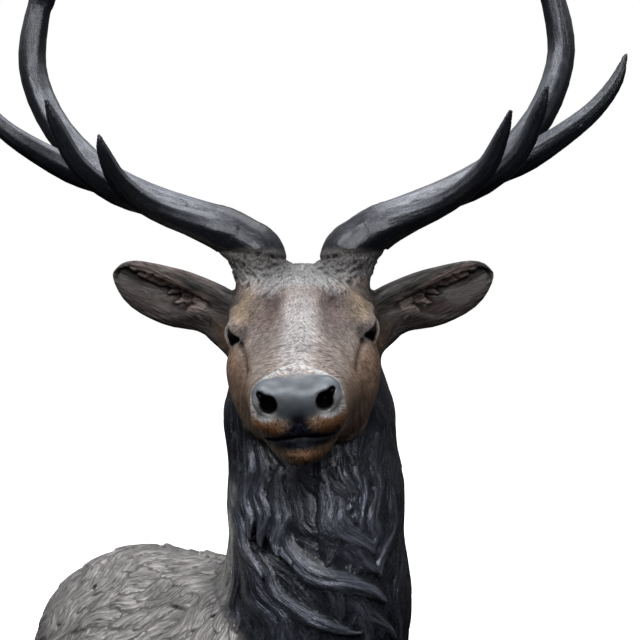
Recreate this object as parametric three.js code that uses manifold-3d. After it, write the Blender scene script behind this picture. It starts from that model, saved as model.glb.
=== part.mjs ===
// Bust of a red deer stag, cast in one piece of bronze: head, ears and antlers on a maned neck,
// with the withers and the start of the back, cut flat below.
// Millimetres, +Z up. The stag looks along -Y and its body runs off along -X.
// Shapes are worked out from the eye line: x = 0 between the eyes, y = 0 at the eyes, z = 0 at
// their height. The finished mesh is then moved so that the part's origin is the middle of the
// box around it, on the flat underside.

import * as THREE from "three";
import { LoftGeometry } from "three/addons/geometries/LoftGeometry.js";
import { mergeVertices } from "three/addons/utils/BufferGeometryUtils.js";
import Module from "manifold-3d";

const wasm = await Module();
wasm.setup();

// ---------------------------------------------------------------- driving sizes

const BASE_Z = -460; // the flat cut, below the eye line
const HEAD_PITCH = THREE.MathUtils.degToRad(13); // nose below the eyes
const HEAD_ROLL = THREE.MathUtils.degToRad(2); // the +X eye higher
const ANTLER_DROP = THREE.MathUtils.degToRad(4); // the -X antler is carried lower
const BROW_SHORTER = 0.88; // the -X brow tine against the +X one

const NECK_R = 112; // middle radius of the maned neck
const TORSO_R = 151; // middle radius of the withers

const NECK_RINGS = 38;
const NECK_SIDES = 44;
const HEAD_RINGS = 25;
const HEAD_SIDES = 28;
const TORSO_RINGS = 15;
const TORSO_SIDES = 26;

const BRONZE = new THREE.MeshStandardMaterial({ color: 0x35363b, roughness: 0.42, metalness: 0.75 });

// ---------------------------------------------------------------- small helpers

const v3 = (x, y, z) => new THREE.Vector3(x, y, z);

// Numbers between 0 and 1 from a fixed seed.
function seeded(seed) {
  let state = seed >>> 0;
  return () => {
    state = (Math.imul(state, 1664525) + 1013904223) >>> 0;
    return state / 4294967296;
  };
}

function smoothMin(a, b, k) {
  const h = Math.max(k - Math.abs(a - b), 0) / k;
  return Math.min(a, b) - h * h * k * 0.25;
}

const smoothMax = (a, b, k) => -smoothMin(-a, -b, k);

// Signed distance to an ellipsoid, near enough close to its surface.
function ellipsoid(p, centre, radii) {
  const x = p.x - centre[0];
  const y = p.y - centre[1];
  const z = p.z - centre[2];
  const [rx, ry, rz] = radii;
  const k0 = Math.hypot(x / rx, y / ry, z / rz);
  const k1 = Math.hypot(x / (rx * rx), y / (ry * ry), z / (rz * rz)) + 1e-9;
  return (k0 * (k0 - 1)) / k1;
}

// Signed distance to a limb with round ends that tapers from ra at a to rb at b.
function limb(p, a, b, ra, rb) {
  const bx = b[0] - a[0];
  const by = b[1] - a[1];
  const bz = b[2] - a[2];
  const px = p.x - a[0];
  const py = p.y - a[1];
  const pz = p.z - a[2];
  const h = THREE.MathUtils.clamp((px * bx + py * by + pz * bz) / (bx * bx + by * by + bz * bz), 0, 1);
  return Math.hypot(px - h * bx, py - h * by, pz - h * bz) - (ra + (rb - ra) * h);
}

function toSolid(geometry) {
  const bare = new THREE.BufferGeometry().copy(geometry);
  bare.deleteAttribute("normal");
  bare.deleteAttribute("uv");
  const merged = mergeVertices(bare);
  const mesh = new wasm.Mesh({
    numProp: 3,
    vertProperties: Float32Array.from(merged.attributes.position.array),
    triVerts: Uint32Array.from(merged.index.array),
  });
  mesh.merge();
  return new wasm.Manifold(mesh);
}

function toGeometry(solid) {
  const mesh = solid.getMesh();
  const geometry = new THREE.BufferGeometry();
  geometry.setAttribute("position", new THREE.BufferAttribute(mesh.vertProperties, 3));
  geometry.setIndex(new THREE.BufferAttribute(mesh.triVerts, 1));
  geometry.computeVertexNormals();
  return geometry;
}

const SMALLEST_RING = 2;

// The farthest point along a ray at which the form is still solid.
function reach(field, centre, direction, far) {
  const p = new THREE.Vector3();
  const inside = (r) => field(p.copy(direction).multiplyScalar(r).add(centre)) < 0;
  const stride = 4;
  let r = far;
  while (r > stride && !inside(r)) r -= stride;
  let outer = r + stride;
  for (let i = 0; i < 7; i += 1) {
    const middle = (r + outer) / 2;
    if (inside(middle)) r = middle;
    else outer = middle;
  }
  return Math.max(r, SMALLEST_RING);
}

// A closed skin over a form: rings around a centre line, each ring's points at the form's surface.
// A station is a centre with two directions u and v, where u x v points on along the line.
function skin(field, stations, sides, far, relief = () => 0, angleAt = (t) => t * 2 * Math.PI) {
  const sections = stations.map(({ centre, u, v }) =>
    Array.from({ length: sides }, (_, j) => {
      const angle = angleAt(j / sides);
      const direction = u.clone().multiplyScalar(Math.cos(angle)).addScaledVector(v, Math.sin(angle));
      const r = reach(field, centre, direction, far);
      const point = centre.clone().addScaledVector(direction, r);
      return point.addScaledVector(direction, relief(point));
    })
  );
  return toSolid(new LoftGeometry(sections, { capStart: true, capEnd: true }));
}

// ---------------------------------------------------------------- head

const cp = Math.cos(HEAD_PITCH);
const sp = Math.sin(HEAD_PITCH);
const cr = Math.cos(HEAD_ROLL);
const sr = Math.sin(HEAD_ROLL);
const HEAD_FORWARD = v3(0, -cp, -sp);
const HEAD_SIDE = v3(cr, 0, 0).addScaledVector(v3(0, -sp, cp), sr);
const HEAD_UP = v3(-sr, 0, 0).addScaledVector(v3(0, -sp, cp), cr);

// The head in its own frame: x to the side, y forward along the muzzle, z up. Both sides are alike.
function headForm(p) {
  const q = v3(p.dot(HEAD_SIDE), p.dot(HEAD_FORWARD), p.dot(HEAD_UP));
  const s = v3(Math.abs(q.x), q.y, q.z);
  let d = ellipsoid(q, [0, -50, 6], [78, 92, 70]); // braincase
  d = smoothMin(d, ellipsoid(q, [0, 2, 10], [62, 78, 42]), 24); // forehead
  d = smoothMin(d, ellipsoid(s, [60, -4, 14], [28, 32, 26]), 22); // brow ridge
  d = smoothMin(d, limb(q, [0, 40, 14], [0, 205, -17], 32, 26), 24); // nasal bridge
  d = smoothMin(d, limb(q, [0, 70, -28], [0, 196, -38], 50, 41), 24); // muzzle
  d = smoothMin(d, ellipsoid(s, [44, 5, -62], [41, 80, 64]), 24); // cheek
  d = smoothMin(d, limb(s, [42, 20, -46], [16, 196, -40], 42, 30), 26); // face
  d = smoothMin(d, limb(s, [38, -48, -98], [16, 178, -70], 36, 20), 22); // jaw
  d = smoothMax(d, -ellipsoid(s, [47, 66, 38], [13, 44, 16]), 24); // hollow beside the bridge
  d = smoothMin(d, ellipsoid(s, [22, 208, -44], [26, 32, 17]), 12); // upper lip
  d = smoothMin(d, ellipsoid(q, [0, 188, -79], [30, 40, 23]), 12); // chin
  d = smoothMin(d, ellipsoid(q, [0, 224, -16], [40, 23, 23]), 8); // nose pad
  d = smoothMin(d, ellipsoid(s, [31, 226, -15], [16, 16, 18]), 8); // nostril wing
  d = smoothMin(d, ellipsoid(s, [66, 0, 11], [27, 25, 14]), 8); // upper lid
  d = smoothMin(d, ellipsoid(s, [66, 20, -33], [17, 34, 18]), 20); // lobe below the eye
  d = smoothMax(d, -ellipsoid(s, [80, 16, -5], [16, 18, 10]), 6); // eye socket
  return Math.min(d, ellipsoid(s, [68, 2, -5], [21, 21, 21])); // eyeball
}

function headSolid() {
  const back = -136;
  const front = 246;
  const stations = Array.from({ length: HEAD_RINGS }, (_, i) => {
    const t = i / (HEAD_RINGS - 1);
    const along = back + (front - back) * (1 - (1 - t) ** 1.35);
    const height = THREE.MathUtils.lerp(-22, -14, THREE.MathUtils.smoothstep(along, 200, 240));
    return {
      centre: v3(0, 0, 0).addScaledVector(HEAD_FORWARD, along).addScaledVector(HEAD_UP, height),
      u: HEAD_SIDE,
      v: HEAD_UP,
    };
  });
  return cutFace(skin(headForm, stations, HEAD_SIDES, 150));
}

// The nostrils and the line of the mouth, cut into the muzzle.
function cutFace(head) {
  const place = new THREE.Matrix4().makeBasis(HEAD_SIDE, HEAD_UP, HEAD_FORWARD);
  const cut = (sides, rings, radii, at) => {
    const egg = new THREE.SphereGeometry(1, sides, rings).scale(radii[0], radii[2], radii[1]);
    return toSolid(egg.translate(at[0], at[2], at[1])).transform(place.elements);
  };
  let whole = head.subtract(cut(22, 4, [58, 58, 3], [0, 190, -61]));
  for (const side of [1, -1]) {
    whole = whole.subtract(cut(9, 6, [8.5, 15, 8.5], [side * 28.5, 243, -21]));
  }
  return whole;
}

// ---------------------------------------------------------------- carved locks

// A lock is a leaf-shaped ridge along a path over an unrolled surface with coordinates a, around,
// and z, along. Its root is sunk and its tip stands proud, so rows of locks lie like shingles.
const LOCK_STEPS = 8;

function makeLock(flow, a, z, length, width, height, sway, phase) {
  const path = [[a, z]];
  for (let k = 0; k < LOCK_STEPS; k += 1) {
    const turn = sway * Math.cos(2 * Math.PI * (k / LOCK_STEPS) + phase);
    const heading = flow(path[k][0], path[k][1]) + turn;
    const step = length / LOCK_STEPS;
    path.push([path[k][0] + step * Math.sin(heading), path[k][1] - step * Math.cos(heading)]);
  }
  const as = path.map((point) => point[0]);
  const zs = path.map((point) => point[1]);
  return {
    path,
    width,
    height,
    low: [Math.min(...as) - width / 2, Math.min(...zs) - width / 2],
    high: [Math.max(...as) + width / 2, Math.max(...zs) + width / 2],
  };
}

const leafWidth = (s) => Math.sin(Math.PI * (0.12 + 0.86 * s)) ** 0.6;
const rise = (s) => 0.3 + 0.7 * s ** 0.7;

function lockHeight(lock, a, z) {
  if (a < lock.low[0] || a > lock.high[0] || z < lock.low[1] || z > lock.high[1]) return 0;
  let best = 0;
  for (let k = 0; k < LOCK_STEPS; k += 1) {
    const [a0, z0] = lock.path[k];
    const da = lock.path[k + 1][0] - a0;
    const dz = lock.path[k + 1][1] - z0;
    const t = THREE.MathUtils.clamp(((a - a0) * da + (z - z0) * dz) / (da * da + dz * dz), 0, 1);
    const s = (k + t) / LOCK_STEPS;
    const across = Math.hypot(a - a0 - t * da, z - z0 - t * dz) / (0.5 * lock.width * leafWidth(s));
    if (across < 1) best = Math.max(best, lock.height * rise(s) * Math.sqrt(1 - across * across));
  }
  return best;
}

const carve = (locks, a, z) => locks.reduce((high, lock) => Math.max(high, lockHeight(lock, a, z)), 0);

// ---------------------------------------------------------------- neck and mane

const NECK_GIRTH = 2 * Math.PI * NECK_R;
const MANE_DEPTH = 12; // how far the proudest locks stand out
const bump = (x, middle, spread) => Math.exp(-(((x - middle) / spread) ** 2));

function neckForm(p) {
  let d = limb(p, [1, 64, -12], [16, 92, -200], 84, 106);
  d = smoothMin(d, limb(p, [16, 92, -200], [18, 100, -330], 106, 113), 30);
  d = smoothMin(d, limb(p, [18, 100, -330], [18, 112, -520], 113, 119), 30);
  return smoothMin(d, ellipsoid(p, [16, 30, -300], [90, 80, 190]), 40); // throat mane
}

const neckMiddle = (z) => v3(
  THREE.MathUtils.clamp(THREE.MathUtils.mapLinear(z, -12, -200, 1, 17), 1, 17),
  THREE.MathUtils.clamp(THREE.MathUtils.mapLinear(z, -12, -200, 64, 92), 64, 92),
  z
);
const aroundNeck = (p) => NECK_R * Math.atan2(p.x - neckMiddle(p.z).x, neckMiddle(p.z).y - p.y);

// The mane sweeps from the nape side down and across the throat, and straight down behind.
function maneFlow(a, z) {
  const t = a / NECK_R;
  const upper = THREE.MathUtils.smoothstep(z, -360, -300);
  return 0.72 * bump(t, -0.45, 0.6) - 0.42 * bump(t, 1.0, 0.5) * upper;
}

function maneLocks() {
  const random = seeded(7);
  const rowStep = 42;
  const columns = 21;
  const locks = [];
  for (let z = -95; z > BASE_Z - 40; z -= rowStep) {
    for (let i = 0; i < columns; i += 1) {
      const a = (i / columns - 0.5) * NECK_GIRTH + (random() - 0.5) * 16;
      const front = Math.max(bump(a / NECK_R, 0.2, 1.1), 0.3);
      const drop = (random() - 0.5) * 20;
      const length = 85 + 70 * random();
      const width = 32 + 16 * random();
      const height = MANE_DEPTH * (0.65 + 0.35 * random()) * front;
      const sway = 0.25 + 0.45 * random();
      const phase = 2 * Math.PI * random();
      locks.push(makeLock(maneFlow, a, z + drop, length, width, height, sway, phase));
    }
  }
  return locks;
}

function neckSolid() {
  const locks = maneLocks();
  const top = 68; // inside the braincase
  const stations = Array.from({ length: NECK_RINGS }, (_, i) => ({
    centre: neckMiddle(THREE.MathUtils.lerp(BASE_Z - 4, top, i / (NECK_RINGS - 1))),
    u: v3(0, 1, 0),
    v: v3(-1, 0, 0),
  }));
  const relief = (p) => {
    const a = aroundNeck(p);
    const other = a - Math.sign(a) * NECK_GIRTH;
    const height = Math.max(carve(locks, a, p.z), carve(locks, other, p.z));
    return (height - MANE_DEPTH / 3) * THREE.MathUtils.smoothstep(-p.z, 70, 110);
  };
  const closerInFront = (t) => 2 * Math.PI * t + 0.45 * Math.sin(2 * Math.PI * t);
  return skin(neckForm, stations, NECK_SIDES, 220, relief, closerInFront);
}

// ---------------------------------------------------------------- withers and back

const TORSO_FRONT = v3(-12, 150, -450);
const TORSO_BACK = v3(-205, 190, -440);
const TORSO_AXIS = TORSO_BACK.clone().sub(TORSO_FRONT).normalize();
const TORSO_SIDE = v3(0, 0, 1).cross(TORSO_AXIS).normalize(); // towards -Y
const TORSO_UP = TORSO_AXIS.clone().cross(TORSO_SIDE);
const TUFT_DEPTH = 6;

function torsoForm(p) {
  const d = limb(p, TORSO_FRONT.toArray(), TORSO_BACK.toArray(), 138, 152);
  return smoothMin(d, ellipsoid(p, [-60, 60, -440], [120, 90, 110]), 40); // near shoulder
}

// Tufts run back from the neck and down over the shoulder.
function tuftLocks() {
  const random = seeded(23);
  const locks = [];
  const flow = (a, z) => 0.9 + 0.25 * Math.sin(z / 45 + a / 60);
  for (let z = 20; z > -420; z -= 30) {
    for (let a = -300; a < 300; a += 30) {
      const start = a + (random() - 0.5) * 16;
      const drop = (random() - 0.5) * 18;
      const length = 50 + 35 * random();
      const width = 24 + 10 * random();
      const height = TUFT_DEPTH * (0.6 + 0.4 * random());
      const phase = 2 * Math.PI * random();
      locks.push(makeLock(flow, start, z + drop, length, width, height, 0.35, phase));
    }
  }
  return locks;
}

function torsoSolid() {
  const locks = tuftLocks();
  const length = TORSO_BACK.distanceTo(TORSO_FRONT);
  const first = -136;
  const last = length + 150;
  const stations = Array.from({ length: TORSO_RINGS }, (_, i) => {
    const swing = Math.PI * (i / (TORSO_RINGS - 1) - 0.5);
    const along = (first + last) / 2 + ((last - first) / 2) * Math.sin(swing);
    return { centre: TORSO_FRONT.clone().addScaledVector(TORSO_AXIS, along), u: TORSO_SIDE, v: TORSO_UP };
  });
  const relief = (p) => {
    const q = p.clone().sub(TORSO_FRONT);
    const around = TORSO_R * Math.atan2(q.dot(TORSO_SIDE), q.dot(TORSO_UP));
    const along = q.dot(TORSO_AXIS);
    const fade = THREE.MathUtils.smoothstep(-along, -last, 30 - last);
    return (carve(locks, around, -along) - TUFT_DEPTH / 3) * fade;
  };
  return skin(torsoForm, stations, TORSO_SIDES, 260, relief);
}

// ---------------------------------------------------------------- ears

const EAR_ROOT = v3(88, 62, 8);
const EAR_TIP = v3(240, 92, 74);

function earSolid(side) {
  const flip = v3(side, 1, 1);
  const root = EAR_ROOT.clone().multiply(flip);
  const tip = EAR_TIP.clone().multiply(flip);
  const along = tip.clone().sub(root).normalize();
  const cup = v3(0.1 * side, -0.95, -0.3); // the way the open side looks
  cup.addScaledVector(along, -cup.dot(along)).normalize();
  const across = along.clone().cross(cup);
  const up = Math.sign(across.z);
  const place = new THREE.Matrix4().makeBasis(along, cup, across);
  place.setPosition(root.clone().lerp(tip, 0.5));
  const leaf = new THREE.SphereGeometry(1, 14, 10).scale(82, 26, 41).translate(6, 0, 0);
  const hollow = new THREE.SphereGeometry(1, 12, 8).scale(63, 27, 27).translate(4, 17, -5 * up);
  const rootPath = [
    [-90, -4, -8 * up, 34],
    [-60, -3, -6 * up, 34],
    [-20, 0, -2 * up, 28],
    [10, 0, 0, 12],
  ];
  const stem = taperedTube(rootPath, 4, 10);
  return toSolid(leaf).add(stem).subtract(toSolid(hollow)).transform(place.elements);
}

// ---------------------------------------------------------------- antlers

// Centre lines of the +X antler: x, y, z and radius.
const PEDICLE_TOP = v3(51, 45, 97);
const ANTLER = {
  beam: [
    [48, 47, 70, 31],
    [57, 46, 96, 32],
    [70, 46, 108, 30.5],
    [94, 50, 126, 28],
    [123, 58, 140, 24.5],
    [190, 80, 173, 20],
    [248, 105, 210, 19.5],
    [302, 132, 272, 18.5],
    [332, 155, 342, 17.5],
    [332, 162, 400, 17],
    [310, 166, 480, 13],
  ],
  brow: [
    [84, 40, 119, 23],
    [118, 34, 131, 18],
    [174, 8, 154, 13.5],
    [213, -28, 186, 12.5],
    [231, -58, 226, 7.5],
    [238, -72, 250, 3],
  ],
  bez: [
    [134, 56, 148, 17],
    [168, 52, 158, 14],
    [220, 24, 176, 12.5],
    [258, -6, 210, 11.5],
    [277, -28, 255, 8.5],
    [285, -40, 284, 3],
  ],
  trez: [
    [240, 103, 200, 18],
    [284, 97, 218, 17],
    [338, 76, 253, 13.5],
    [367, 66, 279, 11],
    [387, 60, 308, 8],
    [397, 56, 338, 3],
  ],
  crownInner: [
    [318, 165, 449, 16],
    [292, 132, 520, 10],
    [284, 118, 548, 3],
  ],
  crownOuter: [
    [316, 166, 455, 16],
    [336, 192, 532, 9.5],
    [345, 198, 560, 3],
  ],
  crownTop: [
    [312, 166, 470, 15],
    [288, 186, 552, 9],
    [284, 190, 578, 3],
  ],
};

// A tube with a round section along a smooth line, its radius following the line's points.
function taperedTube(points, stepsPerPoint, sides) {
  const line = new THREE.CatmullRomCurve3(points.map(([x, y, z]) => v3(x, y, z)));
  const spans = points.length - 1;
  const steps = spans * stepsPerPoint;
  const frames = line.computeFrenetFrames(steps);
  const sections = Array.from({ length: steps + 1 }, (_, i) => {
    const t = i / steps;
    const k = Math.min(Math.floor(t * spans), spans - 1);
    const radius = THREE.MathUtils.lerp(points[k][3], points[k + 1][3], t * spans - k);
    const centre = line.getPoint(t);
    const tangent = line.getTangent(t);
    const u = frames.normals[i].clone().addScaledVector(tangent, -frames.normals[i].dot(tangent)).normalize();
    const v = tangent.clone().cross(u);
    return Array.from({ length: sides }, (_, j) => {
      const angle = (2 * Math.PI * j) / sides;
      const point = centre.clone().addScaledVector(u, radius * Math.cos(angle));
      return point.addScaledVector(v, radius * Math.sin(angle));
    });
  });
  return toSolid(new LoftGeometry(sections, { capStart: true, capEnd: true }));
}

// The -X antler is the +X one mirrored and swung down about its pedicle.
function onSide(side, [x, y, z, radius]) {
  if (side > 0) return [x, y, z, radius];
  const c = Math.cos(ANTLER_DROP);
  const s = Math.sin(ANTLER_DROP);
  const dx = x - PEDICLE_TOP.x;
  const dz = z - PEDICLE_TOP.z;
  return [-(PEDICLE_TOP.x + c * dx + s * dz), y, PEDICLE_TOP.z + c * dz - s * dx, radius];
}

function antlerSolid(side) {
  const lines = Object.entries(ANTLER).map(([name, points]) => {
    const shorter = name === "brow" && side < 0 ? BROW_SHORTER : 1;
    const start = points[1];
    const scaled = points.map((p, i) => {
      const k = i < 2 ? 1 : THREE.MathUtils.lerp(1, shorter, (i - 1) / (points.length - 2));
      return [0, 1, 2].map((n) => start[n] + (p[n] - start[n]) * k).concat(p[3]);
    });
    const sides = name === "beam" ? 9 : 6;
    return taperedTube(scaled.map((p) => onSide(side, p)), 2, sides);
  });
  return lines.reduce((whole, line) => whole.add(line));
}

function pedicleSolid(side) {
  const points = [
    [44, 50, 10, 30],
    [48, 48, 46, 32],
    [52, 46, 70, 31.5],
    [56, 46, 90, 32.5],
  ];
  return taperedTube(points.map((p) => [side * p[0], p[1], p[2], p[3]]), 2, 14);
}

// ---------------------------------------------------------------- the casting

function bust() {
  let solid = headSolid().add(neckSolid()).add(torsoSolid());
  for (const side of [1, -1]) {
    solid = solid.add(pedicleSolid(side)).add(earSolid(side)).add(antlerSolid(side));
  }
  const room = 2000;
  const below = new THREE.BoxGeometry(room, room, room).translate(0, 0, BASE_Z - room / 2);
  return toGeometry(solid.subtract(toSolid(below)));
}

const geometry = bust();
geometry.computeBoundingBox();
const box = geometry.boundingBox;

const casting = new THREE.Mesh(geometry, BRONZE);
casting.name = "stag_bust";
casting.position.set(-(box.min.x + box.max.x) / 2, -(box.min.y + box.max.y) / 2, -box.min.z);

const part = new THREE.Group();
part.add(casting);

export default part;
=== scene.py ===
"""Bust of a red deer stag in patinated cast bronze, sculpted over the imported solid.

The bust is one signed distance, built from named eggs, limbs and tubes in millimetres about the
point between the eyes (x to the stag's left, y back, z up). Carved locks are laid on unrolled
charts of the neck and withers. The whole is meshed once and thinned to one cast piece.
"""

import math
from concurrent.futures import ThreadPoolExecutor

import bpy
import numpy as np
import openvdb
from bpy.props import FloatProperty, FloatVectorProperty, IntProperty, PointerProperty
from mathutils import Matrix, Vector


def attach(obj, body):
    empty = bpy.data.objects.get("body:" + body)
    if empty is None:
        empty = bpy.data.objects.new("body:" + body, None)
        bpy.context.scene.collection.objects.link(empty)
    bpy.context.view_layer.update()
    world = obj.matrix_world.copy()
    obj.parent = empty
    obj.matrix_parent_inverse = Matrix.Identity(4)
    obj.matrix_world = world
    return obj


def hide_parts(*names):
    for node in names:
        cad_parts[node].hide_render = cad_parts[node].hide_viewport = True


bl_info = {
    "name": "Bronze stag bust",
    "version": (1, 0, 0),
    "blender": (4, 5, 0),
    "location": "View3D > Sidebar > Stag bust",
    "description": "Sculpts a stag's bust in patinated bronze over its packed solid",
    "category": "Object",
}

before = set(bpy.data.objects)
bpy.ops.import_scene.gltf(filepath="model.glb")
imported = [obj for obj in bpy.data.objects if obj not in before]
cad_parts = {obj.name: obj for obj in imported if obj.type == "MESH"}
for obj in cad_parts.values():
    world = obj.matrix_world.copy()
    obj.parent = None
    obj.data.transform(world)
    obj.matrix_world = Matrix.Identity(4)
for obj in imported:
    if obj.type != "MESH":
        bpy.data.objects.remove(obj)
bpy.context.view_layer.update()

BETWEEN_EYES = np.array([7.95, -52.39, 460.0])  # in the part's frame, in millimetres
BASE_Z = -460.0
FAR = 90.0

# ---- distances


def smooth_min(a, b, k):
    """The nearer of two distances, rounded over k millimetres where they meet."""
    h = np.maximum(k - np.abs(a - b), 0.0) / k
    return np.minimum(a, b) - h * h * k * 0.25


def smooth_max(a, b, k):
    return -smooth_min(-a, -b, k)


def egg(p, centre, radii):
    """Distance to an ellipsoid, near enough close to its surface."""
    q = p - np.asarray(centre, p.dtype)
    q = q / np.asarray(radii, p.dtype)
    near = length_of(q)
    q = q / np.asarray(radii, p.dtype)
    slope = length_of(q) + 1e-9
    return near * (near - 1.0) / slope


def limb(p, a, b, ra, rb):
    """Distance to a round limb from a to b that narrows evenly from one radius to the other."""
    a = np.asarray(a, p.dtype)
    line = np.asarray(b, p.dtype) - a
    q = p - a
    down = q @ line
    size = float(line @ line)
    h = np.clip(down / size, 0.0, 1.0)
    square = np.einsum("ij,ij->i", q, q) - h * (2 * down - size * h)
    return np.sqrt(np.maximum(square, 0.0)) - (ra + (rb - ra) * h)


def smooth_step(x, low, high):
    t = np.clip((x - low) / (high - low), 0.0, 1.0)
    return t * t * (3.0 - 2.0 * t)


def bump(x, middle, spread):
    return np.exp(-(((x - middle) / spread) ** 2))


def length_of(rows):
    return np.sqrt(np.einsum("ij,ij->i", rows, rows))


def unit(v):
    v = np.asarray(v, float)
    return v / np.linalg.norm(v)


def smooth_line(points, steps):
    """A Catmull-Rom line through the points, with as many values as each point has."""
    points = np.asarray(points, float)
    padded = np.vstack([2 * points[0] - points[1], points, 2 * points[-1] - points[-2]])
    spans = len(points) - 1
    out = []
    for x in np.linspace(0, spans, steps + 1):
        k = min(int(x), spans - 1)
        t = x - k
        p0, p1, p2, p3 = padded[k : k + 4]
        curve = 2 * p1 + (p2 - p0) * t + (2 * p0 - 5 * p1 + 4 * p2 - p3) * t * t
        out.append(0.5 * (curve + (3 * p1 - p0 - 3 * p2 + p3) * t**3))
    return np.array(out)


class Seeded:
    """Numbers between 0 and 1 from a fixed seed."""

    def __init__(self, seed):
        self.state = seed

    def __call__(self):
        self.state = (self.state * 1664525 + 1013904223) % 4294967296
        return self.state / 4294967296


# ---- carved locks

LOCK_STEPS = 8


class Relief:
    """Heights of carved locks over an unrolled surface, with each lock's own coordinates."""

    def __init__(self, low, high, step):
        self.low = np.array(low, float)
        self.step = step
        self.size = np.ceil((np.array(high) - low) / step).astype(int) + 1
        self.height = np.zeros(self.size, np.float32)
        self.across = np.zeros(self.size, np.float32)
        self.along = np.zeros(self.size, np.float32)
        self.side = np.zeros(self.size, np.float32)

    def add(self, path, width, height, root=0.3, strands=0, strand_depth=0.0):
        """Lays one lock on the path, over whatever is lower: a dome cut by a few grooves."""
        path = np.asarray(path, float)
        low = np.maximum(((path.min(0) - width / 2 - self.low) / self.step).astype(int), 0)
        high = ((path.max(0) + width / 2 - self.low) / self.step).astype(int) + 2
        high = np.minimum(high, self.size)
        if (high <= low).any():
            return
        a = self.low[0] + self.step * np.arange(low[0], high[0])[:, None]
        z = self.low[1] + self.step * np.arange(low[1], high[1])[None, :]
        best = np.full((len(a), z.shape[1]), 1e9)
        where = np.zeros_like(best)
        signed = np.zeros_like(best)
        steps = len(path) - 1
        for k in range(steps):
            da, dz = path[k + 1] - path[k]
            qa, qz = a - path[k, 0], z - path[k, 1]
            t = np.clip((qa * da + qz * dz) / (da * da + dz * dz), 0, 1)
            away = np.hypot(qa - t * da, qz - t * dz)
            closer = away < best
            best = np.where(closer, away, best)
            where = np.where(closer, (k + t) / steps, where)
            signed = np.where(closer, np.sign(qa * dz - qz * da), signed)
        leaf = np.sin(np.pi * (0.12 + 0.86 * where)) ** 0.6
        x = best / (0.5 * width * leaf)
        inside = x < 1
        x = np.minimum(x, 1)
        rise = root + (1 - root) * where**0.7
        dome = height * rise * np.sqrt(1 - x * x)
        if strands:
            wander = 0.3 * np.sin(5 * where + 0.1 * path[0, 0]) + 0.02 * path[0, 1]
            wave = np.abs(np.sin(np.pi * (strands * (0.5 + 0.5 * x * signed) + wander)))
            cut = (1 - np.sqrt(wave)) * np.sqrt(1 - x) * smooth_step(where, 0.0, 0.3)
            dome = dome - strand_depth * cut
        region = tuple(slice(i, j) for i, j in zip(low, high))
        higher = inside & (dome > self.height[region])
        for name, value in (
            ("height", dome),
            ("across", best * signed),
            ("along", where * np.linalg.norm(np.diff(path, axis=0), axis=1).sum()),
            ("side", np.full_like(best, path[0, 0] * 7.3 + path[0, 1] * 3.1)),
        ):
            grid = getattr(self, name)
            grid[region] = np.where(higher, value, grid[region])

    def at(self, name, a, z):
        """Heights between the grid's points, and the other values at the nearest one below."""
        grid = getattr(self, name)
        x = np.clip((a - self.low[0]) / self.step, 0, self.size[0] - 1.001)
        y = np.clip((z - self.low[1]) / self.step, 0, self.size[1] - 1.001)
        i, j = x.astype(np.int32), y.astype(np.int32)
        if name != "height":
            return grid[i, j]
        x, y = x - i, y - j
        near = grid[i, j] * (1 - y) + grid[i, j + 1] * y
        return near * (1 - x) + (grid[i + 1, j] * (1 - y) + grid[i + 1, j + 1] * y) * x


def lock_path(flow, a, z, length, sway, phase):
    """A path that follows the flow downward and sways once to each side."""
    path = [(a, z)]
    for k in range(LOCK_STEPS):
        heading = flow(*path[-1]) + sway * math.cos(2 * math.pi * (k / LOCK_STEPS) + phase)
        step = length / LOCK_STEPS
        path.append((path[-1][0] + step * math.sin(heading), path[-1][1] - step * math.cos(heading)))
    return path


# ---- head

HEAD_PITCH = math.radians(13)
HEAD_ROLL = math.radians(2)


def head_axes():
    c, s = math.cos(HEAD_PITCH), math.sin(HEAD_PITCH)
    side, forward, up = np.array([1.0, 0, 0]), np.array([0, -c, -s]), np.array([0, -s, c])
    cr, sr = math.cos(HEAD_ROLL), math.sin(HEAD_ROLL)
    return np.stack([cr * side + sr * up, forward, cr * up - sr * side])


HEAD = head_axes()
MUZZLE_TURN = math.radians(2.5)
MUZZLE_SHIFT = -3.0

EYE = (71.0, 12.0, -1.0)
EYE_R = 19.0
TEAR = ((70, -7), (63, -18), (58, -34))  # across and up, from the corner of the eye down
EYE_OUT = unit((0.60, 0.80, 0.06))
EYE_ALONG = unit(np.cross((0, 0, 1), EYE_OUT))
EYE_UP = np.cross(EYE_ALONG, EYE_OUT)
EYE_UP = EYE_UP * np.sign(EYE_UP[2])


def eye_frame(s):
    """Along the lids, up and out of the eye, from the middle of the eyeball."""
    q = s - np.asarray(EYE, s.dtype)
    axes = np.stack([EYE_ALONG, EYE_UP, EYE_OUT]).astype(s.dtype)
    return q @ axes.T


LIDS = ((0.503, 0.864, 5.6), (0.611, -0.792, 8.6), (-0.923, -0.384, 6.6))


def almond(e):
    """Below nought inside the three-sided opening between the lids, along the eye's own axis."""
    upper, lower, outer = (e[:, 0] * a + e[:, 1] * b - far for a, b, far in LIDS)
    return smooth_max(smooth_max(upper, lower, 4), outer, 4)


def head_frame(p):
    """x to the stag's left, y along the muzzle, z up, with the muzzle turned and shifted a little."""
    q = p @ HEAD.T.astype(p.dtype)
    share = smooth_step(q[:, 1], 60, 230)
    turn = MUZZLE_TURN * share
    x = q[:, 0] - MUZZLE_SHIFT * share
    z = q[:, 2] + 40
    c, s = np.cos(turn), np.sin(turn)
    return np.column_stack([c * x + s * z, q[:, 1], c * z - s * x - 40]).astype(p.dtype)


def one_side(q):
    """The same points with both sides of the head folded onto one."""
    return np.column_stack([np.abs(q[:, 0]), q[:, 1:]])


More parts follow.
